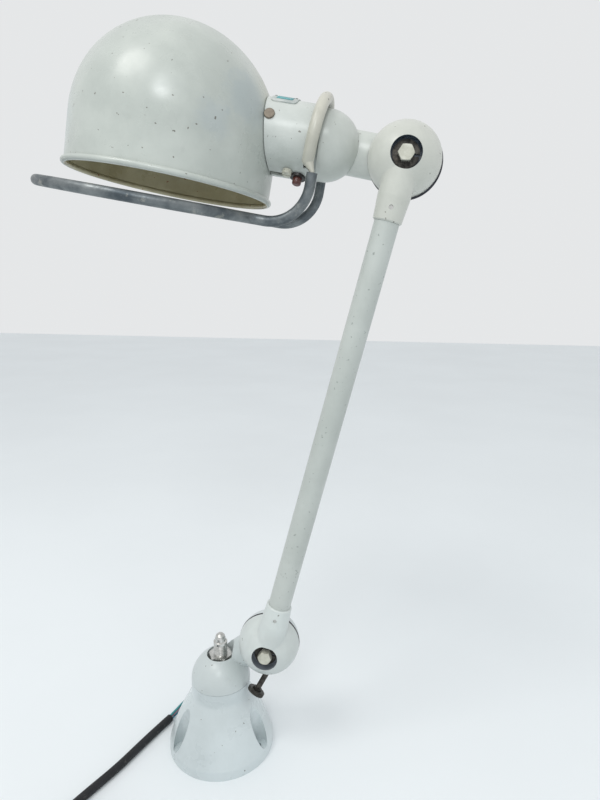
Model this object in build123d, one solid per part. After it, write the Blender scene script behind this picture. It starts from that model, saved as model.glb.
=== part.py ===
from build123d import *
import math
import os

os.makedirs("parts", exist_ok=True)

# One-arm desk lamp with ball joints. Millimetres, +Z up, origin at the middle of the base's underside.
# The joint bolts lie along Y with their hexagon heads toward -Y; the arm leans toward +X and the
# head reaches back toward -X.

# driving sizes: base
foot_radius = 46.5
foot_height = 8.0
base_wall = 4.5
waist_z = 53.0
swivel_z = 65.0
ball_radius = 26.0
dome_radius = ball_radius
base_screw_circle = 77.0
base_screw_radius = 2.5
screw_channel_radius = 7.5
screw_shelf_z = 9.0
first_screw_angle = -19.0
cable_hole_angle = 145.0
cable_hole_radius = 4.8
cable_hole_z = 10.5

# driving sizes: stud through the dome
stud_radius = 6.0
stud_bottom_z = 34.0
stud_top_z = 108.0
stud_nut_flats = 19.0
dome_recess_radius = 12.0
dome_wall = 4.5
dome_pocket_depth = 9.0

# driving sizes: joints
joint_x = 45.0
joint_z = 108.0
parting_y = -6.0
arm_length = 400.0
arm_lean = 14.0
head_tilt = 9.9
socket_offset = 13.0
socket_length = 45.0
socket_root_radius = 11.6
socket_blend = 3.0
socket_end_radius = 10.4
tube_radius = 9.0
tube_wall = 1.5
tube_insert = 21.0
bolt_radius = 4.0
bolt_flats = 10.0
bolt_head_height = 6.0
pole_recess_radius = 10.7
pole_recess_floor = 16.5
joint_pocket_radius = 20.0
joint_pocket_depth = 9.0
disc_thickness = 2.0
neck_half_height = 16.0
neck_front_y = -5.4
neck_back_y = 16.0

# driving sizes: head
cap_radius = 24.6
cap_straight = 2.5
cap_wall = 4.0
head_reach = 60.0
head_rise = 1.5
collar_radius = 26.0
collar_wall = 1.5
groove_x = -2.7
groove_radius = 21.5
notch_x = -8.5
notch_angle = 133.0
shade_seam = 0.7
shade_radius = 75.0
shade_wall = 1.0
shade_skirt = 34.0
shade_bead_radius = 2.1
shade_centre_x = -108.8
shade_centre_z = -10.85
nipple_radius = 5.0
holder_radius = 19.5
bulb_radius = 30.0
bulb_length = 47.0
bulb_neck = 12.0
bulb_foot_radius = 12.4
bulb_wall = 0.8

# driving sizes: ring handle
rod_radius = 3.75
ring_radius = 85.0
ring_centre_x = -118.5
ring_plane_z = -58.4
ring_roll = 4.5
leg_x = 0.0
leg_y = 30.0
leg_top_z = -22.0
leg_bend = 28.0
arch_radius = 4.25
arch_x = -3.6
arch_lean = 4.0

# driving sizes: small parts
rivet_radius = 3.8
rivet_angle = 69.0
button_radius = 3.3
button_travel = 2.5
lock_disc_radius = 7.6
lock_disc_thickness = 3.6
lock_shank_radius = 2.4

# cord
cord_radius = 3.5
wire_radius = 1.0
cord_z = cord_radius + 0.05
cord_route = [
    (-54.3, 13.4, cord_z), (-66.0, -13.0, cord_z), (-78.5, -46.0, cord_z),
    (-93.4, -75.0, cord_z), (-107.0, -104.0, cord_z), (-114.5, -129.0, cord_z),
]
coil_centre = (-70.0, -152.0)
coil_outer_radius = 52.0
coil_inner_radius = 31.0
coil_height = 21.1

# clearances
gap = 0.3
running = 0.06
seat = 0.05

written = []


def save(shape, name):
    """Write one sub-part."""
    solids = shape.solids()
    result = solids[0] if len(solids) == 1 else Compound(children=list(solids))
    export_step(result, f"parts/{name}.step")
    written.append(name)


# ---- simple solids along each axis ----

def rod_z(radius, low, high, x=0.0, y=0.0):
    return Pos(x, y, (low + high) / 2) * Cylinder(radius, high - low)


def rod_y(radius, low, high, x=0.0, z=0.0):
    return Pos(x, (low + high) / 2, z) * Rot(90, 0, 0) * Cylinder(radius, high - low)


def rod_x(radius, low, high, y=0.0, z=0.0):
    return Pos((low + high) / 2, y, z) * Rot(0, 90, 0) * Cylinder(radius, high - low)


def ring_y(outer, inner, low, high):
    return rod_y(outer, low, high) - rod_y(inner, low - 1, high + 1)


def ring_x(outer, inner, low, high):
    return rod_x(outer, low, high) - rod_x(inner, low - 1, high + 1)


def ring_z(outer, inner, low, high):
    return rod_z(outer, low, high) - rod_z(inner, low - 1, high + 1)


def hexagon(flats, height):
    """Hexagonal prism standing on Z = 0, with its upper corners turned off."""
    prism = extrude(RegularPolygon(flats / 2, 6, major_radius=False), height)
    corner = flats / math.sqrt(3)
    turned = Cylinder(corner + 0.1, height, align=(Align.CENTER, Align.CENTER, Align.MIN))
    turned = chamfer(turned.edges().sort_by(Axis.Z)[-1], 0.9)
    return prism & turned


def turn(points):
    """Solid of revolution about Z from an outline in X and Z."""
    return revolve(Plane.XZ * make_face(Polyline(*points, close=True)), Axis.Z)


def box_between(low, high):
    size = [b - a for a, b in zip(low, high)]
    centre = [(a + b) / 2 for a, b in zip(low, high)]
    return Pos(*centre) * Box(*size)


def wire_tube(points, radius, bend):
    """Round wire along straight runs joined by arcs."""
    path = FilletPolyline(*points, radius=bend)
    section = Plane(origin=path @ 0, z_dir=path % 0) * Circle(radius)
    return sweep(section, path)


# ---- frames ----

def leaning(angle):
    """Rotation about Y that turns +Z toward +X."""
    return Rot(0, angle, 0)


lower_ball = Pos(joint_x, parting_y, joint_z)
arm_frame = lower_ball * leaning(arm_lean)
lean = math.radians(arm_lean)
upper_x = joint_x + arm_length * math.sin(lean)
upper_z = joint_z + arm_length * math.cos(lean)
tilt = math.radians(head_tilt)
# head frame: X along the head axis with the cap on its + side, origin on the axis at the cap's face
head_x = upper_x - head_reach * math.cos(tilt) + head_rise * math.sin(tilt)
head_z = upper_z + head_reach * math.sin(tilt) + head_rise * math.cos(tilt)
head_frame = Pos(head_x, 0, head_z) * Rot(0, head_tilt, 0)
upper_ball_in_head = Pos(head_reach, parting_y, -head_rise)

# ---- base ----

def bell_outer():
    """Bell outline: upright foot, slightly rounded cone, narrow waist."""
    slope_mid = ((foot_radius + ball_radius) / 2 + 1.3, (foot_height + waist_z) / 2 + 0.6)
    foot_top = (foot_radius - 0.3, foot_height)
    waist = (ball_radius, waist_z)
    top_z = swivel_z - gap
    edges = [
        Line((0, 0), (foot_radius, 0)),
        Line((foot_radius, 0), foot_top),
        ThreePointArc(foot_top, slope_mid, waist),
        Line(waist, (ball_radius, top_z)),
        Line((ball_radius, top_z), (0, top_z)),
        Line((0, top_z), (0, 0)),
    ]
    face = make_face(Curve() + edges)
    corner = face.vertices().sort_by_distance((waist[0], waist[1], 0))[0]
    face = fillet(corner, 9)
    foot_corner = face.vertices().sort_by_distance((foot_top[0], foot_top[1], 0))[0]
    face = fillet(foot_corner, 6)
    return revolve(Plane.XZ * face, Axis.Z)


def make_base_bell():
    outer = bell_outer()
    cavity_top = waist_z - 1
    cavity = turn([
        (0, -1), (foot_radius - base_wall, -1), (foot_radius - base_wall, foot_height - 2),
        (ball_radius - base_wall, cavity_top), (0, cavity_top),
    ])
    screw_r = base_screw_circle / 2
    bosses = []
    channels = []
    holes = []
    for k in range(3):
        spot = Rot(0, 0, first_screw_angle + 120 * k)
        bosses.append(spot * rod_z(screw_channel_radius + 3.5, 0, swivel_z, x=screw_r))
        channels.append(spot * rod_z(screw_channel_radius, screw_shelf_z, swivel_z, x=screw_r))
        holes.append(spot * rod_z(base_screw_radius, -1, screw_shelf_z + 1, x=screw_r))
    bell = (outer - cavity) + (outer & (Part() + bosses))
    bell = bell - channels - holes
    bell -= rod_z(stud_radius + seat, cavity_top - 1, swivel_z + 1)
    cable_hole = Rot(0, 0, cable_hole_angle) * rod_x(cable_hole_radius, 34, 52, z=cable_hole_z)
    return bell - cable_hole


def stud_outline():
    """Plain shank below, shallow thread turns above the nut, bright ring and rounded tip."""
    thread_low = swivel_z + 24.0
    thread_high = stud_top_z - 9.5
    pitch = 1.5
    depth = 0.45
    points = [(0, stud_bottom_z), (stud_radius, stud_bottom_z), (stud_radius, thread_low)]
    for k in range(int((thread_high - thread_low) / pitch)):
        z = thread_low + k * pitch
        points += [(stud_radius - depth, z + pitch / 2), (stud_radius, z + pitch)]
    tip = 4.7
    points += [
        (stud_radius, thread_high + 1.6), (tip, thread_high + 2.4), (tip, stud_top_z - 4.6),
        (3.9, stud_top_z - 2.2), (2.3, stud_top_z - 0.6), (0, stud_top_z),
    ]
    return points


save(make_base_bell(), "base_bell")
save(turn(stud_outline()) - rod_z(2.0, stud_bottom_z - 1, stud_bottom_z + 8), "swivel_stud")

dome_recess_floor = swivel_z + dome_radius - 8.6
nut_low = dome_recess_floor + 1.2
stud_bore = rod_z(stud_radius + seat, 0, stud_top_z)
upper_nut = Pos(0, 0, nut_low) * hexagon(stud_nut_flats, 4.6) - stud_bore
lower_nut = Pos(0, 0, waist_z - 7.5) * hexagon(stud_nut_flats, 6.5) - stud_bore
save(Part() + [upper_nut, lower_nut], "stud_nuts")
save(ring_z(dome_recess_radius - 0.4, stud_radius + seat, dome_recess_floor, nut_low), "swivel_washer")

grommet_turn = Rot(0, 0, cable_hole_angle)
grommet = rod_x(cable_hole_radius - seat, 39.0, 47.6, z=cable_hole_z)
grommet += rod_x(cable_hole_radius + 1.3, 47.0, 48.4, z=cable_hole_z)
grommet -= rod_x(3.45, 38, 50, z=cable_hole_z)
grommet = grommet_turn * grommet - make_base_bell()
save(grommet.solids().sort_by(SortBy.VOLUME)[-1], "cable_grommet")

# terminal block under the stud, turned to face the cable hole and held by one screw
block_low = stud_bottom_z - 13.0
block_frame = Rot(0, 0, cable_hole_angle)
wire_seats = {"blue_wire": -9.5, "brown_wire": 6.2, "earth_wire": 10.0}
block = box_between((-13, -7, block_low), (13, 7, stud_bottom_z))
block -= rod_z(2.1, block_low - 1, stud_bottom_z + 1)
block -= rod_z(3.7, block_low - 1, block_low + 3)
terminal_screws = [rod_z(1.9, block_low + 3, stud_bottom_z + 7) + rod_z(3.5, block_low + 0.8, block_low + 3)]
for seat_x in wire_seats.values():
    block -= rod_z(wire_radius + seat, block_low - 1, block_low + 7, x=seat_x)
    block -= rod_y(1.35, -8, -1.5, x=seat_x, z=block_low + 5)
    terminal_screws.append(rod_y(1.25, -7.8, -1.5, x=seat_x, z=block_low + 5))
save(block_frame * block, "terminal_block")
save(block_frame * (Part() + terminal_screws), "terminal_screws")

# three conductors, one above another, from the stripped cord through the grommet to the block
hole_dir = Vector(1, 0, 0).rotate(Axis.Z, cable_hole_angle)
cord_start = Vector(*cord_route[0])
cord_out = (cord_start - Vector(*cord_route[1])).normalized()
stack = {"blue_wire": -1, "brown_wire": 0, "earth_wire": 1}
for name, level in stack.items():
    lift = Vector(0, 0, level * (2 * wire_radius + 0.2))
    seat_spot = hole_dir * wire_seats[name]
    points = [
        cord_start + cord_out * 0.2 + lift,
        cord_start + cord_out * 6.0 + lift + Vector(0, 0, 0.7),
        hole_dir * 52.5 + Vector(0, 0, cable_hole_z) + lift,
        seat_spot + Vector(0, 0, cable_hole_z) + lift,
        seat_spot + Vector(0, 0, block_low + 6),
    ]
    save(wire_tube(points, wire_radius, 2.6), name)

# ---- swivel link: dome, neck and rear half-ball in one casting ----

def rear_half_ball():
    """Rear half of a ball joint, ball centre at the origin, bolt along Y."""
    return Sphere(ball_radius) & box_between((-40, disc_thickness, -40), (40, 40, 40))


def rear_pockets():
    """Bolt bore, contact pocket, nut recess, disc seat and the room that the front half turns in."""
    room = rod_y(bolt_radius + seat, -5, 40)
    room += rod_y(joint_pocket_radius, -5, disc_thickness + joint_pocket_depth)
    room += rod_y(pole_recess_radius, pole_recess_floor, 60)
    room += rod_y(ball_radius + seat, -40, disc_thickness)
    return room + rod_y(ball_radius + 1.2, -60, 0)


def neck_between(end_x, end_z, twist):
    """Oval neck from the ball centre toward a point, behind the front half-ball."""
    length = math.hypot(end_x, end_z)
    centre_y = (neck_front_y + neck_back_y) / 2 - parting_y
    depth = (neck_back_y - neck_front_y) / 2
    section = Ellipse(neck_half_height * twist, depth)
    angle = math.degrees(math.atan2(end_x, end_z))
    return Rot(0, angle, 0) * Pos(0, centre_y, 0) * extrude(section, length)


def make_link_casting():
    dome = Sphere(dome_radius) & box_between((-40, -40, 0), (40, 40, 40))
    dome = Pos(0, 0, swivel_z) * dome
    neck = lower_ball * neck_between(-joint_x, swivel_z - joint_z + 8, 0.85)
    half = lower_ball * rear_half_ball()
    body = dome + neck + half
    body -= box_between((-60, -60, 0), (60, 60, swivel_z))
    pocket_top = swivel_z + dome_pocket_depth
    inside = rod_z(dome_radius - dome_wall, swivel_z - 1, pocket_top)
    inside += rod_z(dome_radius - dome_wall - 5, pocket_top - 0.5, dome_recess_floor - 4.5)
    body -= inside
    body -= rod_z(stud_radius + running, swivel_z - 1, swivel_z + 40)
    body -= rod_z(dome_recess_radius, dome_recess_floor, swivel_z + 60)
    body -= lower_ball * rear_pockets()
    body -= lock_frame * rod_z(lock_shank_radius + running, 0, lock_length - 0.5)
    wire_way = lower_ball * Rot(0, -133, 0) * rod_z(3.5, 8, 56, y=10.0)
    body -= wire_way
    return body.solids().sort_by(SortBy.VOLUME)[-1]


# thumb screw under the ball: disc centre and the point where its tip ends inside the ball
lock_disc = Vector(33.8, -9.0, 60.5)
lock_tip = Vector(48.2, 1.5, 85.2)
lock_axis = (lock_tip - lock_disc).normalized()
lock_length = (lock_tip - lock_disc).length
lock_frame = Plane(origin=lock_disc, z_dir=lock_axis).location

save(make_link_casting(), "link_casting")


def make_lock_screw():
    """Knurled thumb disc with a collar and a plain M5 shank."""
    disc = Cylinder(lock_disc_radius, lock_disc_thickness)
    disc = chamfer(disc.edges().filter_by(GeomType.CIRCLE), 0.5)
    notch = 0.45
    count = 30
    notches = []
    for k in range(count):
        notches.append(Rot(0, 0, 360 / count * k) * rod_z(notch, -5, 5, x=lock_disc_radius))
    disc -= notches
    disc += rod_z(4.0, 0, lock_disc_thickness / 2 + 1.6)
    return lock_frame * (disc + rod_z(lock_shank_radius, 0, lock_length - 1.0))


save(make_lock_screw(), "lock_screw")

# contact set of the base swivel
contact_low = swivel_z + 1.2
save(ring_z(dome_radius - dome_wall - 0.3 - 1.2, stud_radius + seat, swivel_z - gap, contact_low),
     "swivel_contact_disc")
save(Part() + [ring_z(18.6, 16.6, contact_low, contact_low + 0.8),
               ring_z(13.4, 11.4, contact_low, contact_low + 0.8)], "swivel_contact_rings")
brush_low = contact_low + 1.1
plate_bottom = swivel_z + dome_pocket_depth - 2.0
save(ring_z(20.9, stud_radius + 3, plate_bottom, plate_bottom + 2.0), "swivel_brush_plate")
brushes = []
for radius, angle in ((17.6, 200), (12.4, 20)):
    spring = Rot(0, 0, angle) * box_between((radius - 1, -3, brush_low), (radius + 1, 3, brush_low + 0.6))
    spring += Rot(0, 0, angle) * box_between((radius - 1, 2.4, brush_low), (radius + 1, 3, plate_bottom))
    brushes.append(spring)
save(Part() + brushes, "swivel_brushes")

# ---- ball joint pieces shared by the lower and the upper joint ----

def front_half_ball():
    """Front half-ball with a tapered tube socket along +Z, ball centre at the origin."""
    socket = Pos(0, -socket_offset, 0) * turn([
        (0, 4), (socket_root_radius, 4),
        (socket_root_radius, ball_radius + 2), (socket_end_radius, socket_length - 0.8),
        (socket_end_radius - 0.8, socket_length), (0, socket_length),
    ])
    body = Rot(90, 0, 0) * Sphere(ball_radius) + socket
    rim = []
    for edge in body.edges():
        point = edge @ 0.37
        from_axis = math.hypot(point.X, point.Y + socket_offset)
        if abs(point.length - ball_radius) < 0.001 and abs(from_axis - socket_root_radius) < 0.001:
            rim.append(edge)
    body = fillet(rim, socket_blend)
    body -= box_between((-40, -gap / 2, -60), (40, 40, 60))
    body -= rod_y(pole_recess_radius, -60, -pole_recess_floor)
    body -= rod_y(joint_pocket_radius, -joint_pocket_depth, 5)
    body -= rod_y(bolt_radius + running, -60, 5)
    body -= rod_z(tube_radius + seat, socket_length - tube_insert, socket_length + 5, y=-socket_offset)
    body -= rod_z(3.2, 14, socket_length - tube_insert + 1, y=-7.6)
    body -= rod_y(1.6, -40, -socket_offset, z=socket_length - 9)
    return body


def socket_screw():
    """Small set screw that holds the tube in its socket."""
    depth_y = -socket_offset - socket_end_radius
    return rod_y(1.55, depth_y + 0.25, -socket_offset - tube_radius - seat, z=socket_length - 9)


def contact_disc(slip):
    """Insulating disc between the halves; its loose rim can stand a little off centre."""
    disc = rod_y(ball_radius, 0, disc_thickness, x=slip[0], z=slip[1])
    disc += rod_y(14.5, disc_thickness, disc_thickness + 4)
    return disc - rod_y(bolt_radius + seat, -1, 20)


def contact_rings():
    return Part() + [ring_y(18.4, 16.4, -0.8, 0), ring_y(12.4, 10.4, -0.8, 0)]


def brush_carrier():
    low = -joint_pocket_depth
    carrier = ring_y(joint_pocket_radius - 0.2, bolt_radius + 1.5, low, low + 2.2)
    return carrier - box_between((-2.7, low - 1, 12), (2.7, 0, 21))


def contact_brushes():
    low = -joint_pocket_depth + 2.2
    springs = []
    for radius, angle in ((17.4, 140), (11.4, -40)):
        turn_y = Rot(0, angle, 0)
        springs.append(turn_y * box_between((radius - 1, -1.6, -3), (radius + 1, -1.1, 3))
                       + turn_y * box_between((radius - 1, low, 2.5), (radius + 1, -1.1, 3)))
    return Part() + springs


def pivot_bolt():
    """Hexagon-head bolt through both halves, head in the front recess."""
    under_head = -pole_recess_floor - 1.6
    head = Pos(0, under_head, 0) * Rot(90, 0, 0) * hexagon(bolt_flats, bolt_head_height)
    return head + rod_y(bolt_radius, under_head, pole_recess_floor + 7.4)


def pivot_washer():
    """Split spring washer under the bolt head."""
    low = -pole_recess_floor - 1.6
    washer = ring_y(9.2, bolt_radius + seat, low, -pole_recess_floor)
    return washer - box_between((0, low - 1, -0.9), (12, 0, 0.9))


def pivot_nut():
    nut = Pos(0, pole_recess_floor, 0) * Rot(-90, 0, 0) * hexagon(bolt_flats, 6.2)
    return nut - rod_y(bolt_radius + seat, 0, 40)


def wire_pair(length):
    """Two wires through the tube, from one brush carrier to the other."""
    pair = []
    for x in (-1.4, 1.4):
        points = [
            (x, -7.6, 15.5), (x, -7.6, 27.0), (x, -socket_offset, 40.0),
            (x, -socket_offset, length - 40.0), (x, -7.6, length - 27.0), (x, -7.6, length - 15.5),
        ]
        pair.append(wire_tube(points, 1.0, 6.0))
    return Part() + pair


upper_end = Pos(0, 0, arm_length) * Rot(0, 180, 0)
save(arm_frame * front_half_ball(), "lower_half_ball")
save(arm_frame * upper_end * front_half_ball(), "upper_half_ball")
tube_low = socket_length - tube_insert
tube = rod_z(tube_radius, tube_low, arm_length - tube_low, y=-socket_offset)
tube -= rod_z(tube_radius - tube_wall, tube_low - 1, arm_length, y=-socket_offset)
save(arm_frame * tube, "arm_tube")
save(arm_frame * wire_pair(arm_length), "arm_wires")
save(Part() + [arm_frame * socket_screw(), arm_frame * upper_end * socket_screw()], "socket_screws")

bolt_turn = {"lower": 8.0, "upper": -6.0}
joint_places = {"lower": lower_ball, "upper": head_frame * upper_ball_in_head}
arm_places = {"lower": arm_frame, "upper": arm_frame * upper_end}
disc_slip = {"lower": (0.0, 0.0), "upper": (0.9, -1.15)}
for end, place in joint_places.items():
    turned = place * Rot(0, bolt_turn[end], 0)
    save(place * contact_disc(disc_slip[end]), f"{end}_contact_disc")
    save(place * contact_rings(), f"{end}_contact_rings")
    save(turned * pivot_bolt(), f"{end}_pivot_bolt")
    save(place * pivot_washer(), f"{end}_spring_washer")
    save(turned * pivot_nut(), f"{end}_pivot_nut")
for end, place in arm_places.items():
    save(place * brush_carrier(), f"{end}_brush_carrier")
    save(place * contact_brushes(), f"{end}_brushes")

# ---- head link: cap, neck and rear half-ball ----

def make_head_link():
    dome = Pos(cap_straight, 0, 0) * Sphere(cap_radius) & box_between((cap_straight, -40, -40), (60, 40, 40))
    cap = dome + rod_x(cap_radius, gap, cap_straight)
    neck = upper_ball_in_head * neck_between(-(head_reach - cap_straight - 4), head_rise, 1.0)
    half = upper_ball_in_head * rear_half_ball()
    body = cap + neck + half
    body -= rod_x(cap_radius - cap_wall, gap - 1, cap_straight + 9)
    body -= rod_x(cap_radius - cap_wall - 6, cap_straight + 8.5, cap_straight + 17)
    body -= rod_x(nipple_radius + seat, 0, cap_straight + 23)
    body -= upper_ball_in_head * rear_pockets()
    body -= upper_ball_in_head * Rot(0, -90, 0) * rod_z(3.2, 8, 36, y=10.5)
    return body.solids().sort_by(SortBy.VOLUME)[-1]


save(head_frame * make_head_link(), "head_link_casting")

nipple_end = cap_straight + 22.5
plate_low = groove_x - collar_wall
plate_high = -0.2
nipple = rod_x(nipple_radius, plate_low - 9, nipple_end) - rod_x(nipple_radius - 1.3, -40, 60)
save(head_frame * nipple, "swivel_nipple")
nipple_nut = Pos(plate_low - 0.3, 0, 0) * Rot(0, -90, 0) * hexagon(15.0, 5.0)
nipple_nut -= rod_x(nipple_radius + seat, -40, 10)
cap_nut = Pos(cap_straight + 11.5, 0, 0) * Rot(0, -90, 0) * hexagon(15.0, 5.0)
cap_nut -= rod_x(nipple_radius + seat, -40, 60)
save(head_frame * (Part() + [nipple_nut, cap_nut]), "nipple_nuts")

# ---- head: collar, shade, holder, bulb, switch ----

shade_place = Pos(shade_centre_x, 0, shade_centre_z)


def shade_solid(radius, skirt):
    ball = Sphere(radius) & box_between((-90, -90, 0), (90, 90, 90))
    return shade_place * (ball + rod_z(radius, -skirt, 0))


def surface_spot(angle, x):
    """Place on the collar, its Z pointing outward; angle from the top toward -Y."""
    return Pos(x, 0, 0) * Rot(angle, 0, 0) * Pos(0, 0, collar_radius)


rivet_x = -36.6
clamp_spot = surface_spot(152, -20.0)
switch_spot = surface_spot(163, -12.5)


def make_collar():
    long_end = shade_centre_x + 30
    tube = ring_x(collar_radius, collar_radius - collar_wall, long_end, groove_x)
    tube += ring_x(collar_radius, groove_radius - collar_wall, plate_low, groove_x)
    end_plate = rod_x(groove_radius, plate_low, plate_high)
    end_plate -= rod_x(nipple_radius + running, -40, 10)
    body = tube + end_plate
    body -= shade_solid(shade_radius + shade_seam, shade_skirt + 60)
    for side in (-1, 1):
        body -= surface_spot(side * rivet_angle, rivet_x) * Cylinder(2.0, 8)
    slot_low = -37.0
    body -= surface_spot(166, 0) * box_between((slot_low - 12, -2.6, -4), (slot_low + 13.0, 2.6, 4))
    body -= clamp_spot * Cylinder(2.05, 8)
    body -= switch_spot * Cylinder(4.6, 8)
    for side in (-1, 1):
        body -= surface_spot(side * notch_angle, 0) * box_between((notch_x, -3.5, -4), (1, 3.5, 4))
    return body.solids().sort_by(SortBy.VOLUME)[-1]


save(head_frame * make_collar(), "collar")


def make_shade():
    """Spun hemisphere with a short skirt, a rolled bead and a turned-in neck."""
    inner = shade_radius - shade_wall
    shell = Sphere(shade_radius) & box_between((-90, -90, 0), (90, 90, 90))
    shell += rod_z(shade_radius, -shade_skirt, 0)
    shell -= Sphere(inner) & box_between((-90, -90, 0), (90, 90, 90))
    shell -= rod_z(inner, -shade_skirt - 1, 0)
    bead_middle = shade_radius - shade_wall / 2 + 0.6
    shell += Pos(0, 0, -shade_skirt) * Torus(bead_middle, shade_bead_radius)
    shell = shade_place * shell
    spigot_outer = collar_radius - collar_wall - 0.1
    mouth = rod_x(spigot_outer, -70, -25)
    shell -= mouth
    spigot = ring_x(spigot_outer, spigot_outer - shade_wall, -70, -28)
    spigot -= shade_solid(inner, shade_skirt + 60)
    for side in (-1, 1):
        spigot -= surface_spot(side * rivet_angle, rivet_x) * Cylinder(2.0, 12)
    spigot -= clamp_spot * Cylinder(6, 30)
    slot_cut = surface_spot(166, 0) * box_between((-60, -3.2, -6), (-26, 3.2, 6))
    joined = shell + (spigot - slot_cut)
    return joined.solids().sort_by(SortBy.VOLUME)[-1]


save(head_frame * make_shade(), "shade")

rivets = []
for side in (-1, 1):
    head = Pos(0, 0, 0.3) * Cylinder(rivet_radius, 1.8)
    head = fillet(head.edges().sort_by(Axis.Z)[-1], 0.7)
    rivet = surface_spot(side * rivet_angle, rivet_x) * head - rod_x(collar_radius, -60, 0)
    tail = Pos(0, 0, -1.4) * Cylinder(1.95, 4.2) + Pos(0, 0, -3.6) * Cylinder(2.9, 0.9)
    rivets.append(rivet + surface_spot(side * rivet_angle, rivet_x) * tail)
save(head_frame * (Part() + rivets), "collar_rivets")

# blank plate on top of the collar, with a plain coloured field
plate_spread = 42.0
plate_x = (-39.0, -20.5)


def curved_sheet(low, high, x_range, spread):
    """Sheet bent round the head axis, centred on the top."""
    sheet = ring_x(high, low, x_range[0], x_range[1])
    wedge = Polyline((0, 0), (90 * math.tan(math.radians(spread)), 90),
                     (-90 * math.tan(math.radians(spread)), 90), close=True)
    wedge = extrude(Plane.YZ * make_face(wedge), 100, both=True)
    return sheet & wedge


name_plate = curved_sheet(collar_radius + 0.02, collar_radius + 0.75, plate_x, plate_spread)
corners = name_plate.edges().filter_by(lambda e: abs(e.length - 0.73) < 0.02)
name_plate = fillet(corners, 3.0)
field = curved_sheet(collar_radius + 0.75, collar_radius + 1.05, (-35.5, -24.0), plate_spread - 9)
save(head_frame * field, "plate_field")
plate_rivets = []
for x in (plate_x[0] + 1.8, plate_x[1] - 1.8):
    for angle in (-18, 18):
        spot = surface_spot(angle, x) * Pos(0, 0, 0.7)
        name_plate -= spot * Cylinder(0.85, 4)
        plate_rivets.append(spot * Cylinder(0.8, 1.2))
save(head_frame * name_plate, "blank_plate")
save(head_frame * (Part() + plate_rivets), "plate_rivets")

# lamp holder on the nipple, inside the collar
holder_front = -57.0
holder_back = -21.2
holder = rod_x(holder_radius, holder_front, holder_back - 4) + rod_x(15.0, holder_back - 4.5, holder_back)
holder -= rod_x(14.0, holder_front - 1, holder_back - 8)
holder -= rod_x(nipple_radius - 1.0, holder_back - 9, holder_back + 1)
save(head_frame * holder, "lamp_holder")
bracket_x = -18.8
bracket = rod_x(collar_radius - collar_wall - 0.1, bracket_x - 2.4, bracket_x)
bracket -= rod_x(nipple_radius - 1.0, -40, 0)
bracket -= clamp_spot * Cylinder(2.1, 12)
save(head_frame * bracket, "holder_bracket")
contact = rod_x(5.0, holder_back - 9.6, holder_back - 8.05) - rod_x(nipple_radius - 1.5, -40, 0)
save(head_frame * contact, "holder_contact")

cap_front = holder_front - 0.5
cap_back = holder_back - 9.9
bulb_cap = rod_x(13.0, cap_front, cap_back - 3) + rod_x(7.0, cap_back - 3.2, cap_back)
save(head_frame * bulb_cap, "bulb_cap")


def bulb_outline(inset):
    """Closed outline of the pear shape, drawn in by an inset: neck, cone tangent to the ball, ball."""
    ball = bulb_radius - inset
    meet = math.radians(30)
    meet_r = ball * math.cos(meet)
    meet_z = bulb_length - ball * math.sin(meet)
    neck_r = meet_r - (meet_z - bulb_neck) * math.tan(meet)
    neck = (neck_r, bulb_neck)
    foot = (bulb_foot_radius - inset, 0)
    shoulder = ThreePointArc((meet_r, meet_z), (ball, bulb_length), (0, bulb_length + ball))
    lines = [Line((0, 0), foot), Line(foot, neck), Line(neck, (meet_r, meet_z))]
    return make_face(Curve() + lines + [shoulder, Line((0, bulb_length + ball), (0, 0))])


def make_bulb():
    """Thin pear-shaped glass, open toward its cap."""
    glass = revolve(Plane.XZ * bulb_outline(0), Axis.Z) - revolve(Plane.XZ * bulb_outline(bulb_wall), Axis.Z)
    return Pos(cap_front, 0, 0) * Rot(0, -90, 0) * glass


save(head_frame * make_bulb(), "bulb_glass")

# switch: bezel on the collar, sprung push button, body behind the wall
bezel = Cylinder(5.6, 1.6, align=(Align.CENTER, Align.CENTER, Align.MIN))
bezel -= rod_x(collar_radius, -20, 20, z=-collar_radius)
neck_part = Pos(0, 0, -2.6) * Cylinder(4.5, 6.8)
body_block = Pos(0, 0, -7.6) * Cylinder(6.1, 4.0)
switch = bezel + neck_part + body_block
switch -= Pos(0, 0, -1.0) * Cylinder(button_radius + running, 24)
save(head_frame * switch_spot * switch, "switch_body")
button = Pos(0, 0, -1.4) * Cylinder(button_radius, 14.0)
button = fillet(button.edges().sort_by(Axis.Z)[-1], 1.6)
save(head_frame * switch_spot * Pos(0, 0, 1.0) * button, "switch_button")

clamp = Pos(0, 0, -1.0) * Cylinder(1.95, 9.0)
clamp_head = Cylinder(3.5, 3.6, align=(Align.CENTER, Align.CENTER, Align.MIN))
clamp_head = fillet(clamp_head.edges().sort_by(Axis.Z)[-1], 1.2)
clamp_head -= Pos(0, 0, 3.6) * Box(9, 0.9, 1.2)
save(head_frame * clamp_spot * (clamp + Pos(0, 0, 0.3) * clamp_head), "clamp_screw")

# ---- ring handle: bare rod with a painted arch over the collar ----

handle_frame = head_frame * Rot(ring_roll, 0, 0)


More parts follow.
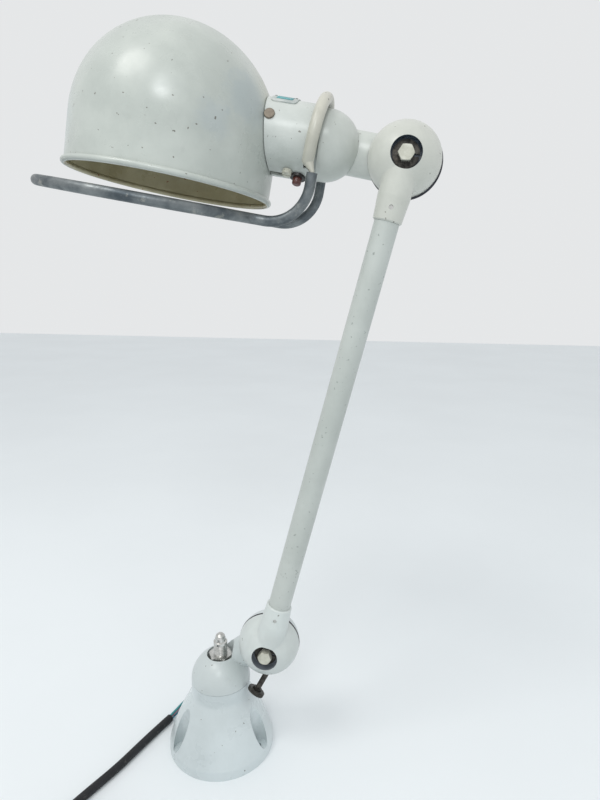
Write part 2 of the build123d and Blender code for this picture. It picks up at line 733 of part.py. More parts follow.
def ring_path():
    """Leg, bend, short straight, flare, large arc and back to the other leg."""
    bend_end_x = leg_x - leg_bend
    straight_x = bend_end_x - 4
    reach = straight_x - ring_centre_x
    flare = (reach ** 2 + leg_y ** 2 - ring_radius ** 2) / (2 * (ring_radius - leg_y))
    flare_y = leg_y + flare
    to_centre = math.hypot(reach, flare_y)
    join_x = straight_x - reach * flare / to_centre
    join_y = flare_y - flare_y * flare / to_centre
    half_turn = math.radians(45)
    low = ring_plane_z + leg_bend
    corner_x = leg_x - leg_bend * (1 - math.cos(half_turn))
    corner_z = low - leg_bend * math.sin(half_turn)
    flare_start = -math.pi / 2
    flare_end = math.atan2(join_y - flare_y, join_x - straight_x)
    if flare_end > 0:
        flare_end -= 2 * math.pi
    flare_mid = (flare_start + flare_end) / 2
    mid_x = straight_x + flare * math.cos(flare_mid)
    mid_y = flare_y + flare * math.sin(flare_mid)
    edges = []
    for side in (-1, 1):
        leg = side * leg_y
        edges += [
            Line((leg_x, leg, leg_top_z), (leg_x, leg, low)),
            ThreePointArc((leg_x, leg, low), (corner_x, leg, corner_z), (bend_end_x, leg, ring_plane_z)),
            Line((bend_end_x, leg, ring_plane_z), (straight_x, leg, ring_plane_z)),
            ThreePointArc((straight_x, leg, ring_plane_z), (mid_x, side * mid_y, ring_plane_z),
                          (join_x, side * join_y, ring_plane_z)),
        ]
    edges.append(ThreePointArc((join_x, -join_y, ring_plane_z), (ring_centre_x - ring_radius, 0, ring_plane_z),
                               (join_x, join_y, ring_plane_z)))
    return Wire(edges)


path = ring_path()
start_face = Pos(leg_x, -leg_y, leg_top_z) * Circle(rod_radius)
ring_handle = sweep(start_face, path)
lug_radius = 1.6
for side in (-1, 1):
    ring_handle -= rod_z(lug_radius + seat, leg_top_z - 6, leg_top_z + 1, x=leg_x, y=side * leg_y)
    ring_handle -= Pos(leg_x, side * leg_y, leg_top_z + 0.6) * Sphere(lug_radius + 0.9)
save(handle_frame * ring_handle, "ring_handle")


def make_arch():
    """Painted arch over the collar; its ends taper into lugs that enter the rod's ends."""
    middle = collar_radius + arch_radius + 0.05
    end_angle = 118.0
    a = math.radians(end_angle)
    arc = ThreePointArc((0, -middle * math.sin(a), middle * math.cos(a)), (0, 0, middle),
                        (0, middle * math.sin(a), middle * math.cos(a)))
    section = Plane(origin=arc @ 0, z_dir=arc % 0) * Circle(arch_radius)
    arch = Rot(0, arch_lean, 0) * sweep(section, arc)
    arch = Pos(arch_x, 0, 0) * arch
    for side in (-1, 1):
        end = Vector(0, side * middle * math.sin(a), middle * math.cos(a))
        end = end.rotate(Axis.Y, arch_lean) + Vector(arch_x, 0, 0)
        arch += Pos(*end) * Sphere(arch_radius)
        target = Vector(leg_x, side * leg_y, leg_top_z + 0.6)
        along = (target - end).normalized()
        taper = Plane(origin=end, z_dir=along).location * Cone(
            arch_radius - 0.4, lug_radius, (target - end).length,
            align=(Align.CENTER, Align.CENTER, Align.MIN))
        arch += taper
        arch += Pos(*target) * Sphere(lug_radius)
        arch += rod_z(lug_radius, leg_top_z - 5.5, leg_top_z + 0.6, x=leg_x, y=side * leg_y)
    arch -= rod_x(collar_radius + 0.02, -30, 20)
    return arch.solids().sort_by(SortBy.VOLUME)[-1]


save(handle_frame * make_arch(), "handle_arch")

# ---- cord ----

def corner_radii(points):
    """Largest arc at each corner that its two runs allow."""
    radii = []
    for before, here, after in zip(points, points[1:], points[2:]):
        into = Vector(*here) - Vector(*before)
        out = Vector(*after) - Vector(*here)
        bend = math.radians(into.get_angle(out))
        radii.append(0.45 * min(into.length, out.length) / math.tan(bend / 2))
    return radii


radii = corner_radii(cord_route)
print("cord bend radii", [round(r, 1) for r in radii])
cord_path = FilletPolyline(*cord_route, radius=radii)
cord_face = Plane(origin=cord_path @ 0, z_dir=cord_path % 0) * Circle(cord_radius)
power_cord = sweep(cord_face, cord_path)
print("cord length", round(cord_path.length, 1), "volume over section times length",
      round(power_cord.volume / (math.pi * cord_radius ** 2 * cord_path.length), 4))

coil = ring_z(coil_outer_radius, coil_inner_radius, 0.05, coil_height)
coil = fillet(coil.edges().filter_by(GeomType.CIRCLE), 5.0)
coil = Pos(coil_centre[0], coil_centre[1], 0) * coil
save(coil, "cord_coil")

tie_angle = 25.0
tie_place = Pos(coil_centre[0], coil_centre[1], 0) * Rot(0, 0, tie_angle)
tie = box_between((coil_inner_radius - 1.2, -3, 0.05), (coil_outer_radius + 1.2, 3, coil_height + 1.2))
tie -= box_between((coil_inner_radius + 0.05, -4, -1), (coil_outer_radius - 0.05, 4, coil_height))
tie = tie_place * tie
save(tie - coil, "cord_tie")

# earthed plug on the floor beside the coil; the top turn leaves the coil straight into its grip
top_turn_radius = coil_outer_radius - cord_radius
leave_angle = 10.0
plug_radius = 18.5
plug_half_height = 17.0
plug_length = 30.0
grip_length = 22.0
lead_start = 14.0
lead_end = 34.0
leave_dir = Vector(1, 0, 0).rotate(Axis.Z, leave_angle)
leave_side = Vector(0, -top_turn_radius, 0).rotate(Axis.Z, leave_angle)
leave_point = Vector(coil_centre[0], coil_centre[1], 0) + leave_side
plug_origin = leave_point + leave_dir * (lead_end + grip_length)
plug_place = Pos(plug_origin.X, plug_origin.Y, plug_half_height + 0.1) * Rot(0, 0, leave_angle)
plug_sides = box_between((-60, -30, -plug_half_height), (60, 30, plug_half_height))
plug = rod_x(plug_radius, 0, plug_length) & plug_sides
grip = [(0, -1), (cord_radius + 1.5, -1), (cord_radius + 1.5, 0)]
for k in range(4):
    x = 2.0 + 4.5 * k
    size = 5.6 + 1.5 * k
    grip += [(size - 0.9, x), (size, x + 0.4), (size + 0.9, x + 2.9), (size, x + 3.3)]
grip += [(12.0, grip_length + 1), (0, grip_length + 1)]
plug += Pos(-grip_length, 0, 0) * Rot(0, 90, 0) * turn(grip)
plug -= rod_x(cord_radius + seat, -grip_length - 2, -grip_length + 3)
save(plug_place * plug, "mains_plug")
pins = []
for side in (-1, 1):
    pin = rod_x(2.4, plug_length, plug_length + 19.0, y=side * 9.5)
    pins.append(fillet(pin.edges().filter_by(GeomType.CIRCLE).sort_by(Axis.X)[-1], 1.5))
save(plug_place * (Part() + pins), "plug_pins")

lead = plug_place * rod_x(cord_radius, lead_start - lead_end - grip_length, -grip_length + 2.9)
save(Part() + [power_cord, lead], "power_cord")

print(len(written), "parts")
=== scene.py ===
import math

import bpy
from mathutils import Matrix, Vector


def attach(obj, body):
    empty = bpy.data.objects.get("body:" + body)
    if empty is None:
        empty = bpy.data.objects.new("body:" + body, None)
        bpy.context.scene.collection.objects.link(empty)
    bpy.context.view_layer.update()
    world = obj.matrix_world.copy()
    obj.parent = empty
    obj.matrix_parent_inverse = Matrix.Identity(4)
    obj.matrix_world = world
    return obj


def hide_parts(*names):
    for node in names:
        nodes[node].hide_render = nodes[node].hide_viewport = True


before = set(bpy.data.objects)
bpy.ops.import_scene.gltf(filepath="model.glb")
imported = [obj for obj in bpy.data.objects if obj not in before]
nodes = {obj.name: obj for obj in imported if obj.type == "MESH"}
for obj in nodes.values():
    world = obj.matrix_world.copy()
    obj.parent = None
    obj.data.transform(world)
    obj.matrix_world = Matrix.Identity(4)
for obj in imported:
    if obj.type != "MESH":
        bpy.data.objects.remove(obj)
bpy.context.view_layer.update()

print("frame loaded with", len(nodes), "nodes")

cameraView = {
    "place": (0.12201, -0.43198, 0.40721),
    "turn": 7.04,
    "tip": 11.37,
    "roll": 0.61,
    "lens": 25.21,
}


def makeCamera(view):
    turn, tip, roll = (math.radians(view[key]) for key in ("turn", "tip", "roll"))
    ahead = Vector((-math.sin(turn) * math.cos(tip), math.cos(turn) * math.cos(tip), -math.sin(tip)))
    side = Vector((math.cos(turn), math.sin(turn), 0))
    up = side.cross(ahead)
    rolledSide = side * math.cos(roll) + up * math.sin(roll)
    rolledUp = up * math.cos(roll) - side * math.sin(roll)
    data = bpy.data.cameras.new("camera")
    data.lens = view["lens"]
    data.sensor_width = 36
    data.clip_start = 0.01
    data.clip_end = 50
    camera = bpy.data.objects.new("camera", data)
    bpy.context.collection.objects.link(camera)
    turned = Matrix((rolledSide, rolledUp, -ahead)).transposed().to_4x4()
    camera.matrix_world = Matrix.Translation(view["place"]) @ turned
    bpy.context.scene.camera = camera


makeCamera(cameraView)
print("camera placed")

# the mains lead: loose run, then a tied coil, then the plug; millimetres as in the part
mainsLead = {
    "run": [(-54.3, 13.4), (-66, -13), (-78.5, -46), (-93.4, -75), (-107, -104), (-114.5, -129)],
    "low": 3.55,
    "radius": 3.5,
    "coilCentre": (-70, -152),
    "wideTurn": 48.5,
    "pitch": 7,
    "cornerCut": 0.985,
    "turns": 6.278,
    "pointsPerTurn": 18,
    "inward": [(0.78, 0.93), (1.78, 1.93)],
    "outward": [(3.43, 3.58), (4.43, 4.58)],
    "climbs": [(2.60, 2.75), (5.28, 5.43)],
    "leaveAngle": 10,
    "tailSteps": (0, 12, 24, 36.5),
    "plugHigh": 17.1,
    "length": 1.88,
}


def share(value, start, end):
    return min(1, max(0, (value - start) / (end - start)))


def coilPoint(lead, turn):
    radius = lead["wideTurn"]
    radius -= lead["pitch"] * sum(share(turn, *jog) for jog in lead["inward"])
    radius += lead["pitch"] * sum(share(turn, *jog) for jog in lead["outward"])
    high = lead["low"] + lead["pitch"] * sum(share(turn, *climb) for climb in lead["climbs"])
    angle = math.pi + 2 * math.pi * turn
    wide = radius / lead["cornerCut"]  # the smooth line runs a little inside its points
    midX, midY = lead["coilCentre"]
    return (midX + wide * math.cos(angle), midY + wide * math.sin(angle), high)


def leadPoints(lead):
    points = [(x, y, lead["low"]) for x, y in lead["run"]]
    count = int(lead["turns"] * lead["pointsPerTurn"])
    for step in range(1, count):
        points.append(coilPoint(lead, step * lead["turns"] / count))
    leave = math.radians(lead["leaveAngle"])
    along = Vector((math.cos(leave), math.sin(leave), 0))
    centre = Vector((*lead["coilCentre"], 0))
    corner = centre + Vector((math.sin(leave), -math.cos(leave), 0)) * lead["wideTurn"]
    for far in lead["tailSteps"]:
        spot = corner + along * far
        points.append((spot.x, spot.y, lead["plugHigh"]))
    return points


def makeCurve(name, points, radius):
    curve = bpy.data.curves.new(name, "CURVE")
    curve.dimensions = "3D"
    spline = curve.splines.new("NURBS")
    spline.points.add(len(points) - 1)
    for spot, place in zip(spline.points, points):
        spot.co = (place[0] / 1000, place[1] / 1000, place[2] / 1000, 1)
        spot.radius = radius / 1000
    spline.order_u = 3
    spline.use_endpoint_u = True
    spline.resolution_u = 6
    curve.bevel_depth = 1.0
    curve.bevel_resolution = 5
    curve.use_fill_caps = True
    made = bpy.data.objects.new(name, curve)
    bpy.context.collection.objects.link(made)
    return made


mainsCord = makeCurve("mains_cord", leadPoints(mainsLead), mainsLead["radius"])
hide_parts("power_cord", "cord_coil")
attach(mainsCord, "base")
print("mains lead laid")

# room: pale table top and soft lamps
room = {
    "floorColour": (0.80, 0.84, 0.86),
    "floorReach": 4,
    "lampAim": (0.02, 0, 0.3),
    "skyColour": (0.96, 0.975, 0.985),
    "skyStrength": 0.82,
    "lamps": [
        {
            "name": "window_left",
            "way": (-0.37, -0.42, 0.82),
            "far": 1.5,
            "size": 0.55,
            "power": 5.4,
            "colour": (1.0, 0.98, 0.95),
        },
        {
            "name": "window_front",
            "way": (0.05, -0.78, 0.62),
            "far": 1.6,
            "size": 0.45,
            "power": 5.4,
            "colour": (0.97, 0.99, 1.0),
        },
    ],
}


def makeMaterial(name, finish):
    material = bpy.data.materials.new(name)
    material.use_nodes = True
    tree = material.node_tree
    shader = tree.nodes["Principled BSDF"]
    for key, value in finish.items():
        shader.inputs[key].default_value = value
    return material, tree, shader


def place(tree):
    return tree.nodes.new("ShaderNodeTexCoord").outputs["Object"]


def noise(tree, where, scale, detail=3, rough=0.5, stretch=None):
    if stretch:
        mapping = tree.nodes.new("ShaderNodeMapping")
        mapping.inputs["Scale"].default_value = stretch
        tree.links.new(where, mapping.inputs["Vector"])
        where = mapping.outputs["Vector"]
    node = tree.nodes.new("ShaderNodeTexNoise")
    node.inputs["Scale"].default_value = scale
    node.inputs["Detail"].default_value = detail
    node.inputs["Roughness"].default_value = rough
    tree.links.new(where, node.inputs["Vector"])
    return node.outputs["Fac"]


def reach(tree, value, fromLow, fromHigh, toLow=0.0, toHigh=1.0):
    node = tree.nodes.new("ShaderNodeMapRange")
    node.interpolation_type = "SMOOTHSTEP"
    for key, number in zip(("From Min", "From Max", "To Min", "To Max"), (fromLow, fromHigh, toLow, toHigh)):
        node.inputs[key].default_value = number
    tree.links.new(value, node.inputs["Value"])
    return node.outputs["Result"]


def sums(tree, kind, first, second):
    node = tree.nodes.new("ShaderNodeMath")
    node.operation = kind
    for socket, value in zip(node.inputs, (first, second)):
        if isinstance(value, (int, float)):
            socket.default_value = value
        else:
            tree.links.new(value, socket)
    return node.outputs["Value"]


def blend(tree, amount, first, second):
    node = tree.nodes.new("ShaderNodeMix")
    node.data_type = "RGBA"
    sockets = [node.inputs[0], node.inputs[6], node.inputs[7]]  # factor and the two colours
    for socket, value in zip(sockets, (amount, first, second)):
        if isinstance(value, (int, float)):
            socket.default_value = value
        elif isinstance(value, tuple):
            socket.default_value = (*value[:3], 1)
        else:
            tree.links.new(value, socket)
    return node.outputs[2]


def nearTo(tree, where, spot, radius, soft, ragged, grain):
    # one inside a ball round a spot (mm), fading out over soft, with a ragged rim
    gap = tree.nodes.new("ShaderNodeVectorMath")
    gap.operation = "DISTANCE"
    tree.links.new(where, gap.inputs[0])
    gap.inputs[1].default_value = tuple(value / 1000 for value in spot)
    far = gap.outputs["Value"]
    if ragged:
        wobble = sums(tree, "SUBTRACT", noise(tree, where, grain, 4, 0.6), 0.5)
        far = sums(tree, "ADD", far, sums(tree, "MULTIPLY", wobble, ragged / 1000))
    return reach(tree, far, radius / 1000, (radius + soft) / 1000, 1, 0)


def bumpFrom(tree, shader, height, strength, depth):
    node = tree.nodes.new("ShaderNodeBump")
    node.inputs["Strength"].default_value = strength
    node.inputs["Distance"].default_value = depth / 1000
    tree.links.new(height, node.inputs["Height"])
    tree.links.new(node.outputs["Normal"], shader.inputs["Normal"])


def dress(name, material):
    # the CAD node keeps its shape and gets this finish in every slot
    data = nodes[name].data
    if not data.materials:
        data.materials.append(material)
    for index in range(len(data.materials)):
        data.materials[index] = material


def makeRoom(plan):
    scene = bpy.context.scene
    scene.view_settings.view_transform = "Standard"
    floorMaterial, tree, shader = makeMaterial("pale_table", {"Roughness": 0.6, "Specular IOR Level": 0.25})
    where = place(tree)
    cloudy = reach(tree, noise(tree, where, 2.2, 4, 0.55), 0.3, 0.7)
    paler = tuple(value * 1.03 for value in plan["floorColour"])
    tree.links.new(blend(tree, cloudy, plan["floorColour"], paler), shader.inputs["Base Color"])
    floorMesh = bpy.data.meshes.new("table_top")
    far = plan["floorReach"]
    corners = [(-far, -far, 0), (far, -far, 0), (far, far, 0), (-far, far, 0)]
    floorMesh.from_pydata(corners, [], [(0, 1, 2, 3)])
    floorMesh.materials.append(floorMaterial)
    floor = bpy.data.objects.new("table_top", floorMesh)
    bpy.context.collection.objects.link(floor)
    world = bpy.data.worlds.new("daylight")
    world.use_nodes = True
    sky = world.node_tree.nodes["Background"]
    sky.inputs["Color"].default_value = (*plan["skyColour"], 1)
    sky.inputs["Strength"].default_value = plan["skyStrength"]
    scene.world = world
    target = Vector(plan["lampAim"])
    for lamp in plan["lamps"]:
        light = bpy.data.lights.new(lamp["name"], "AREA")
        light.shape = "DISK"
        light.size = lamp["size"]
        light.energy = lamp["power"]
        light.color = lamp["colour"]
        way = Vector(lamp["way"]).normalized()
        made = bpy.data.objects.new(lamp["name"], light)
        made.location = target + way * lamp["far"]
        made.rotation_mode = "QUATERNION"
        made.rotation_quaternion = way.to_track_quat("Z", "Y")
        bpy.context.collection.objects.link(made)


makeRoom(room)
print("room and lamps ready")

# old pale paint on steel and castings
pale = {
    "light": (0.500, 0.535, 0.500),
    "dark": (0.415, 0.450, 0.420),
    "speck": (0.10, 0.09, 0.07),
    "roughness": 0.34,
    "coat": 0.25,
    "cloud": 16,
    "grime": 0.28,
    "grimeTone": 0.72,
    "speckScale": 330,
    "speckFrom": 0.735,
    "bump": 0.16,
}


def paint(name, plan, marksAndShade=(), inside=None):
    look = dict(pale, **plan)
    finish = {"Roughness": look["roughness"], "Coat Weight": look["coat"], "Coat Roughness": 0.22}
    material, tree, shader = makeMaterial(name, finish)
    where = place(tree)
    cloud = reach(tree, noise(tree, where, look["cloud"], 5, 0.62), 0.34, 0.68)
    colour = blend(tree, cloud, look["dark"], look["light"])
    grime = reach(tree, noise(tree, where, 70, 6, 0.7), 0.60, 0.76, 0, look["grime"])
    colour = blend(tree, grime, colour, tuple(value * look["grimeTone"] for value in look["dark"]))
    # each entry darkens or tints round a spot: the lampshade's marks, and painted shade on the collar and
    # castings
    for spot, radius, soft, ragged, tint, strength in marksAndShade:
        mask = sums(tree, "MULTIPLY", nearTo(tree, where, spot, radius, soft, ragged, 160), strength)
        colour = blend(tree, mask, colour, tint)
    specks = noise(tree, where, look["speckScale"], 2, 0.4)
    speck = reach(tree, specks, look["speckFrom"], look["speckFrom"] + 0.02, 0, 0.8)
    colour = blend(tree, speck, colour, look["speck"])
    if inside:
        colour = inside(tree, where, colour)
    tree.links.new(colour, shader.inputs["Base Color"])
    dull = look["roughness"]
    wear = reach(tree, noise(tree, where, 45, 5, 0.6), 0.3, 0.75, dull - 0.07, dull + 0.14)
    tree.links.new(wear, shader.inputs["Roughness"])
    peel = sums(tree, "ADD", noise(tree, where, 420, 3, 0.5), sums(tree, "MULTIPLY", speck, -0.8))
    wavy = sums(tree, "ADD", peel, sums(tree, "MULTIPLY", noise(tree, where, 38, 2, 0.5), 1.4))
    bumpFrom(tree, shader, wavy, look["bump"], 0.35)
    return material


shadePlan = {
    "centre": (-26.1, 0, 515.9),
    "lean": 9.9,
    "innerRadius": 74.55,
    "cream": (0.365, 0.335, 0.215),
    "creamDark": (0.255, 0.225, 0.130),
    "rust": (0.17, 0.055, 0.018),
}


def shadeInside(tree, where, colour):
    # the lining starts inside the sheet: distance from the crown's centre above, from the axis below
    turned = tree.nodes.new("ShaderNodeMapping")
    turned.vector_type = "TEXTURE"
    turned.inputs["Location"].default_value = tuple(value / 1000 for value in shadePlan["centre"])
    turned.inputs["Rotation"].default_value = (0, math.radians(shadePlan["lean"]), 0)
    tree.links.new(where, turned.inputs["Vector"])
    split = tree.nodes.new("ShaderNodeSeparateXYZ")
    tree.links.new(turned.outputs["Vector"], split.inputs["Vector"])
    join = tree.nodes.new("ShaderNodeCombineXYZ")
    tree.links.new(split.outputs["X"], join.inputs["X"])
    tree.links.new(split.outputs["Y"], join.inputs["Y"])
    tree.links.new(sums(tree, "MAXIMUM", split.outputs["Z"], 0.0), join.inputs["Z"])
    size = tree.nodes.new("ShaderNodeVectorMath")
    size.operation = "LENGTH"
    tree.links.new(join.outputs["Vector"], size.inputs[0])
    edge = shadePlan["innerRadius"] / 1000
    mask = reach(tree, size.outputs["Value"], edge - 0.0001, edge + 0.0001, 1, 0)
    cloud = reach(tree, noise(tree, where, 22, 5, 0.65), 0.32, 0.7)
    cream = blend(tree, cloud, shadePlan["creamDark"], shadePlan["cream"])
    spots = reach(tree, noise(tree, where, 240, 3, 0.5), 0.70, 0.73)
    cream = blend(tree, spots, cream, shadePlan["rust"])
    return blend(tree, mask, colour, cream)


# each mark: middle in mm, radius, fade, raggedness, colour, strength
shadeMarks = [
    ((38, -38, 530), 9, 16, 22, (0.30, 0.37, 0.41), 0.35),
    ((22, -62, 512), 5, 12, 18, (0.33, 0.39, 0.43), 0.30),
    ((-96, -20, 520), 16, 30, 20, (0.44, 0.53, 0.55), 0.45),
    ((47, 0, 540), 10, 22, 18, (0.52, 0.52, 0.40), 0.40),
]
dress("shade", paint("shade_paint", {"roughness": 0.30, "bump": 0.10}, shadeMarks, shadeInside))
print("shade painted")

# painted shade low on the collar's near side, where it meets the lampshade and round the clamp screw
collarShade = [
    ((34, -24, 478), 6, 12, 14, (0.19, 0.25, 0.21), 0.55),
    ((60, -26, 486), 6, 14, 14, (0.27, 0.31, 0.27), 0.40),
]
collarPlan = {"roughness": 0.32, "light": (0.58, 0.61, 0.585), "dark": (0.49, 0.525, 0.50)}
dress("collar", paint("collar_paint", collarPlan, collarShade))
archPlan = {
    "light": (0.55, 0.54, 0.47),
    "dark": (0.43, 0.43, 0.37),
    "speckFrom": 0.70,
    "grime": 0.4,
    "cloud": 40,
}
dress("handle_arch", paint("arch_paint", archPlan))
print("collar and arch painted")

# painted shade darkens the bolt recess in each ball's pole: how far forward, how wide, how soft
recessShade = {"depth": 24, "radius": 11.8, "fade": 0.25, "strength": 0.95}
castings = {
    "link_casting": {
        "tones": {"light": (0.60, 0.655, 0.66), "dark": (0.53, 0.58, 0.58)},
        # a darker spot in the crease between the dome and the lower ball: painted shade
        "marksAndShade": [((20, -8, 84), 8, 14, 12, (0.40, 0.45, 0.44), 0.4)],
    },
    "head_link_casting": {
        "tones": {"light": (0.57, 0.60, 0.565), "dark": (0.46, 0.49, 0.46)},
        # a darker spot under the cap, by the upper ball's neck: painted shade
        "marksAndShade": [((100, -10, 472), 9, 20, 14, (0.33, 0.37, 0.34), 0.45)],
    },
    "lower_half_ball": {
        "tones": {"light": (0.61, 0.66, 0.645), "dark": (0.53, 0.57, 0.555)},
        # recess: middle (x, z) in mm and the colour of the painted shade in the bolt recess
        "recess": ((45, 108), (0.15, 0.17, 0.20)),
    },
    "upper_half_ball": {
        "tones": {"light": (0.60, 0.615, 0.565), "dark": (0.51, 0.525, 0.48)},
        "recess": ((141.77, 496.12), (0.018, 0.040, 0.070)),
    },
}
for name, plan in castings.items():
    marksAndShade = list(plan.get("marksAndShade", []))
    # the painted shade in the bolt recess is added as one more spot
    if "recess" in plan:
        (x, z), tint = plan["recess"]
        middle = (x, -recessShade["depth"], z)
        marksAndShade.append((middle, recessShade["radius"], recessShade["fade"], 0, tint, recessShade["strength"]))
    look = dict({"roughness": 0.36, "bump": 0.22, "grime": 0.26, "speckScale": 260}, **plan["tones"])
    dress(name, paint(name + "_paint", look, marksAndShade))
tubePlan = {
    "roughness": 0.34,
    "light": (0.50, 0.535, 0.51),
    "dark": (0.425, 0.46, 0.435),
    "cloud": 14,
    "speckFrom": 0.70,
    "speck": (0.24, 0.27, 0.25),
    "speckScale": 420,
}
dress("arm_tube", paint("arm_tube_paint", tubePlan))
# the base's paint is set lighter and bluer than the arm's and the lampshade's: painted light from the pale
# floor
basePlan = {
    "roughness": 0.30,
    "light": (0.61, 0.675, 0.69),
    "dark": (0.54, 0.60, 0.61),
    "speckFrom": 0.75,
    "grime": 0.15,
    "coat": 0.35,
}
dress("base_bell", paint("base_paint", basePlan))
print("castings, tube and base painted")

boltPlan = {
    "light": (0.62, 0.62, 0.54),
    "dark": (0.42, 0.42, 0.35),
    "grime": 0.6,
    "cloud": 90,
    "roughness": 0.4,
}
boltPaint = paint("old_painted_bolt", boltPlan)
for name in ("lower_pivot_bolt", "upper_pivot_bolt", "lower_pivot_nut", "upper_pivot_nut", "clamp_screw"):
    dress(name, boltPaint)


bareMetalBase = {
    "metallic": 1.0,
    "cloud": 120,
    "stainScale": 60,
    "stain": 0.3,
    "stainColour": (0.16, 0.12, 0.09),
    "scratch": 500,
    "stretch": (1, 1, 0.12),
    "bump": 0.12,
}


def bareMetal(name, plan):
    look = dict(bareMetalBase, **plan)
    dull = look["roughness"]
    finish = {"Metallic": look["metallic"], "Roughness": dull}
    material, tree, shader = makeMaterial(name, finish)
    where = place(tree)
    cloud = reach(tree, noise(tree, where, look["cloud"], 5, 0.6), 0.3, 0.7)
    colour = blend(tree, cloud, look["dark"], look["light"])
    stains = reach(tree, noise(tree, where, look["stainScale"], 6, 0.7), 0.56, 0.7, 0, look["stain"])
    colour = blend(tree, stains, colour, look["stainColour"])
    tree.links.new(colour, shader.inputs["Base Color"])
    scratch = noise(tree, where, look["scratch"], 3, 0.6, look["stretch"])
    wear = reach(tree, scratch, 0.3, 0.7, dull - 0.08, dull + 0.16)
    tree.links.new(wear, shader.inputs["Roughness"])
    bumpFrom(tree, shader, scratch, look["bump"], 0.15)
    return material


rodPlan = {
    "metallic": 0.75,
    "roughness": 0.42,
    "light": (0.24, 0.26, 0.265),
    "dark": (0.075, 0.092, 0.105),
    "cloud": 46,
    "stainScale": 120,
    "stain": 0.55,
    "stainColour": (0.40, 0.40, 0.36),
    "stretch": (0.5, 0.5, 1),
}
dress("ring_handle", bareMetal("worn_rod_steel", rodPlan))
steelPlan = {"roughness": 0.24, "light": (0.72, 0.72, 0.70), "dark": (0.50, 0.50, 0.48), "stain": 0.25}
brightSteel = bareMetal("bright_steel", steelPlan)
for name in (
    "swivel_stud",
    "stud_nuts",
    "swivel_washer",
    "nipple_nuts",
    "swivel_nipple",
    "terminal_screws",
    "plate_rivets",
    "socket_screws",
    "holder_bracket",
    "plug_pins",
):
    dress(name, brightSteel)
rivetPlan = {
    "metallic": 0.4,
    "roughness": 0.42,
    "light": (0.24, 0.205, 0.16),
    "dark": (0.15, 0.125, 0.10),
    "cloud": 200,
    "stain": 0.4,
}
dress("collar_rivets", bareMetal("brown_rivet", rivetPlan))
darkPlan = {
    "metallic": 0.85,
    "roughness": 0.45,
    "light": (0.10, 0.095, 0.085),
    "dark": (0.035, 0.033, 0.03),
    "cloud": 220,
    "stain": 0.4,
    "stainColour": (0.23, 0.20, 0.16),
}
darkSteel = bareMetal("dark_steel", darkPlan)
for name in ("lower_spring_washer", "upper_spring_washer", "lock_screw"):
    dress(name, darkSteel)
brassPlan = {"roughness": 0.3, "light": (0.70, 0.50, 0.22), "dark": (0.45, 0.29, 0.10), "stain": 0.3}
brass = bareMetal("contact_brass", brassPlan)
for name in (
    "lower_contact_rings",
    "upper_contact_rings",
    "lower_brushes",
    "upper_brushes",
    "swivel_contact_rings",
    "swivel_brushes",
    "holder_contact",
):
    dress(name, brass)
capPlan = {"roughness": 0.3, "light": (0.60, 0.58, 0.52), "dark": (0.42, 0.40, 0.35), "stain": 0.2}
dress("bulb_cap", bareMetal("bulb_cap_metal", capPlan))
platePlan = {
    "metallic": 0.25,
    "roughness": 0.45,
    "light": (0.62, 0.64, 0.62),
    "dark": (0.42, 0.46, 0.45),
    "cloud": 80,
    "stain": 0.35,
    "stainColour": (0.20, 0.33, 0.35),
}
dress("blank_plate", bareMetal("plate_metal", platePlan))
print("metals ready")


plasticBase = {
    "coat": 0.0,
    "cloud": 90,
    "dust": 0.12,
    "dustColour": (0.45, 0.44, 0.40),
    "grain": 900,
    "bump": 0.15,
}


def plastic(name, plan):
    look = dict(plasticBase, **plan)
    dull = look["roughness"]
    finish = {"Roughness": dull, "Coat Weight": look["coat"]}
    material, tree, shader = makeMaterial(name, finish)
    where = place(tree)
    cloud = reach(tree, noise(tree, where, look["cloud"], 5, 0.6), 0.3, 0.7)
    colour = blend(tree, cloud, look["dark"], look["light"])
    dust = reach(tree, noise(tree, where, 260, 4, 0.6), 0.58, 0.72, 0, look["dust"])
    colour = blend(tree, dust, colour, look["dustColour"])
    tree.links.new(colour, shader.inputs["Base Color"])
    grain = noise(tree, where, look["grain"], 3, 0.6)
    wear = reach(tree, grain, 0.3, 0.7, dull - 0.06, dull + 0.12)
    tree.links.new(wear, shader.inputs["Roughness"])
    bumpFrom(tree, shader, grain, look["bump"], 0.12)
    return material


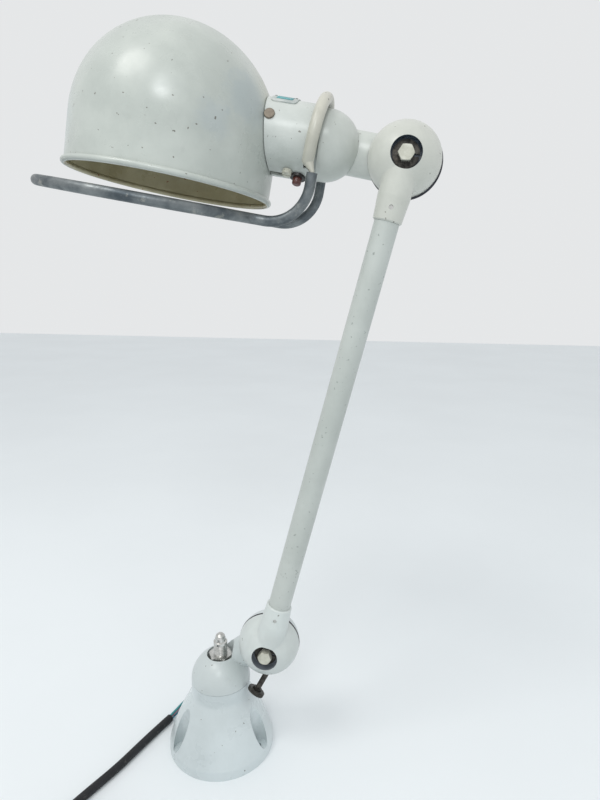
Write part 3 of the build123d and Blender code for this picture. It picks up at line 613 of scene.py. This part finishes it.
finishes = {
    "black_cover": {
        "light": (0.012, 0.013, 0.016),
        "dark": (0.005, 0.006, 0.008),
        "roughness": 0.62,
        "grain": 1400,
        "bump": 0.35,
        "dust": 0.10,
    },
    "blue_wire_cover": {"light": (0.035, 0.24, 0.33), "dark": (0.02, 0.15, 0.22), "roughness": 0.42},
    "pink_wire_cover": {"light": (0.42, 0.27, 0.33), "dark": (0.27, 0.16, 0.20), "roughness": 0.45},
    "brown_wire_cover": {"light": (0.14, 0.06, 0.03), "dark": (0.08, 0.035, 0.02), "roughness": 0.45},
    "teal_wire_cover": {"light": (0.05, 0.27, 0.28), "dark": (0.03, 0.17, 0.19), "roughness": 0.42},
    "contact_board": {"light": (0.035, 0.032, 0.038), "dark": (0.012, 0.012, 0.018), "roughness": 0.5},
    "dark_board": {"light": (0.020, 0.024, 0.040), "dark": (0.006, 0.008, 0.016), "roughness": 0.35},
    "white_moulding": {"light": (0.66, 0.64, 0.58), "dark": (0.55, 0.53, 0.46), "roughness": 0.42},
    "dark_moulding": {"light": (0.03, 0.027, 0.025), "dark": (0.014, 0.013, 0.012), "roughness": 0.36},
    "switch_red": {
        "light": (0.13, 0.035, 0.025),
        "dark": (0.07, 0.02, 0.016),
        "roughness": 0.35,
        "coat": 0.3,
    },
    "teal_field": {
        "light": (0.10, 0.36, 0.38),
        "dark": (0.05, 0.22, 0.25),
        "roughness": 0.4,
        "dust": 0.55,
        "dustColour": (0.62, 0.66, 0.64),
        "cloud": 120,
    },
}
wears = {
    "black_cover": ("cable_grommet", "mains_plug", "cord_coil", "power_cord"),
    "blue_wire_cover": ("blue_wire",),
    "pink_wire_cover": ("brown_wire",),
    "brown_wire_cover": ("arm_wires",),
    "teal_wire_cover": ("earth_wire",),
    "contact_board": (
        "lower_contact_disc",
        "lower_brush_carrier",
        "upper_brush_carrier",
        "swivel_brush_plate",
        "swivel_contact_disc",
    ),
    "dark_board": ("upper_contact_disc",),
    "white_moulding": ("terminal_block", "lamp_holder"),
    "dark_moulding": ("switch_body", "cord_tie"),
    "switch_red": ("switch_button",),
    "teal_field": ("plate_field",),
}
for finishName, pieceNames in wears.items():
    material = plastic(finishName, finishes[finishName])
    for name in pieceNames:
        dress(name, material)
    if finishName == "black_cover":
        mainsCord.data.materials.append(material)
print("plastics and covers ready")

bulbPlan = {
    "Base Color": (1, 1, 1, 1),
    "Roughness": 0.12,
    "IOR": 1.46,
    "Transmission Weight": 0.25,
    "Coat Weight": 0.4,
}


def bulbGlass(plan):
    material, tree, shader = makeMaterial("bulb_glass", plan)
    where = place(tree)
    cloud = reach(tree, noise(tree, where, 40, 4, 0.5), 0.3, 0.7)
    tree.links.new(blend(tree, cloud, (0.86, 0.86, 0.83), (0.95, 0.95, 0.93)), shader.inputs["Base Color"])
    wear = reach(tree, noise(tree, where, 90, 4, 0.5), 0.3, 0.7, 0.10, 0.24)
    tree.links.new(wear, shader.inputs["Roughness"])
    return material


dress("bulb_glass", bulbGlass(bulbPlan))
print("bulb ready")
